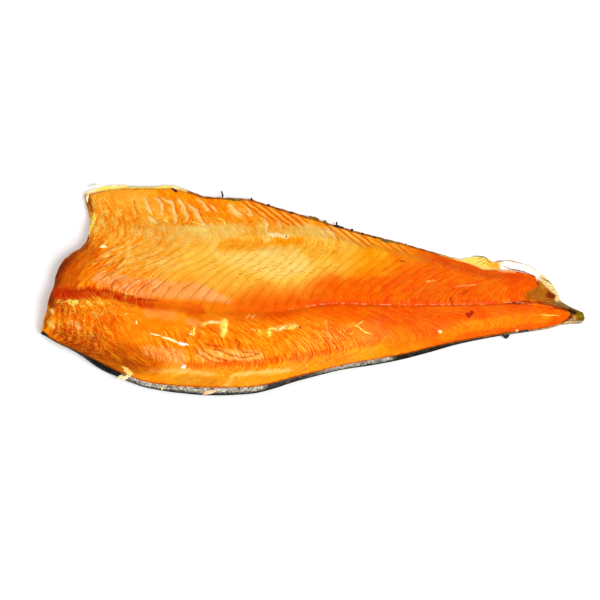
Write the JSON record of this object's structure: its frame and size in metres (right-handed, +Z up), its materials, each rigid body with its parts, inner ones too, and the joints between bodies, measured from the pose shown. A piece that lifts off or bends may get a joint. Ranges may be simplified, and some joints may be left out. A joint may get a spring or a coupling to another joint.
{
  "type": "side of hot smoked salmon",
  "caption": "Whole skin-on side of hot smoked salmon lying flesh up, with a cut head end, flaky orange flesh, a centre seam, a thick back edge, a thin belly edge and a tail stub.",
  "frame": {"origin": "on the table, under the middle of the side's bounding box", "axes": "+X from the cut head end to the tail, +Y towards the thin belly edge, +Z up from the skin to the flesh"},
  "size_m": [0.5414, 0.2309, 0.0284],
  "materials": {
    "flesh": "oily smoked flesh, satin to glossy",
    "skin": "dark silver scaled skin, satin"
  },
  "bodies": {
    "root": {"salmon_flesh": "flesh", "salmon_skin": "skin"}
  },
  "joints": []
}
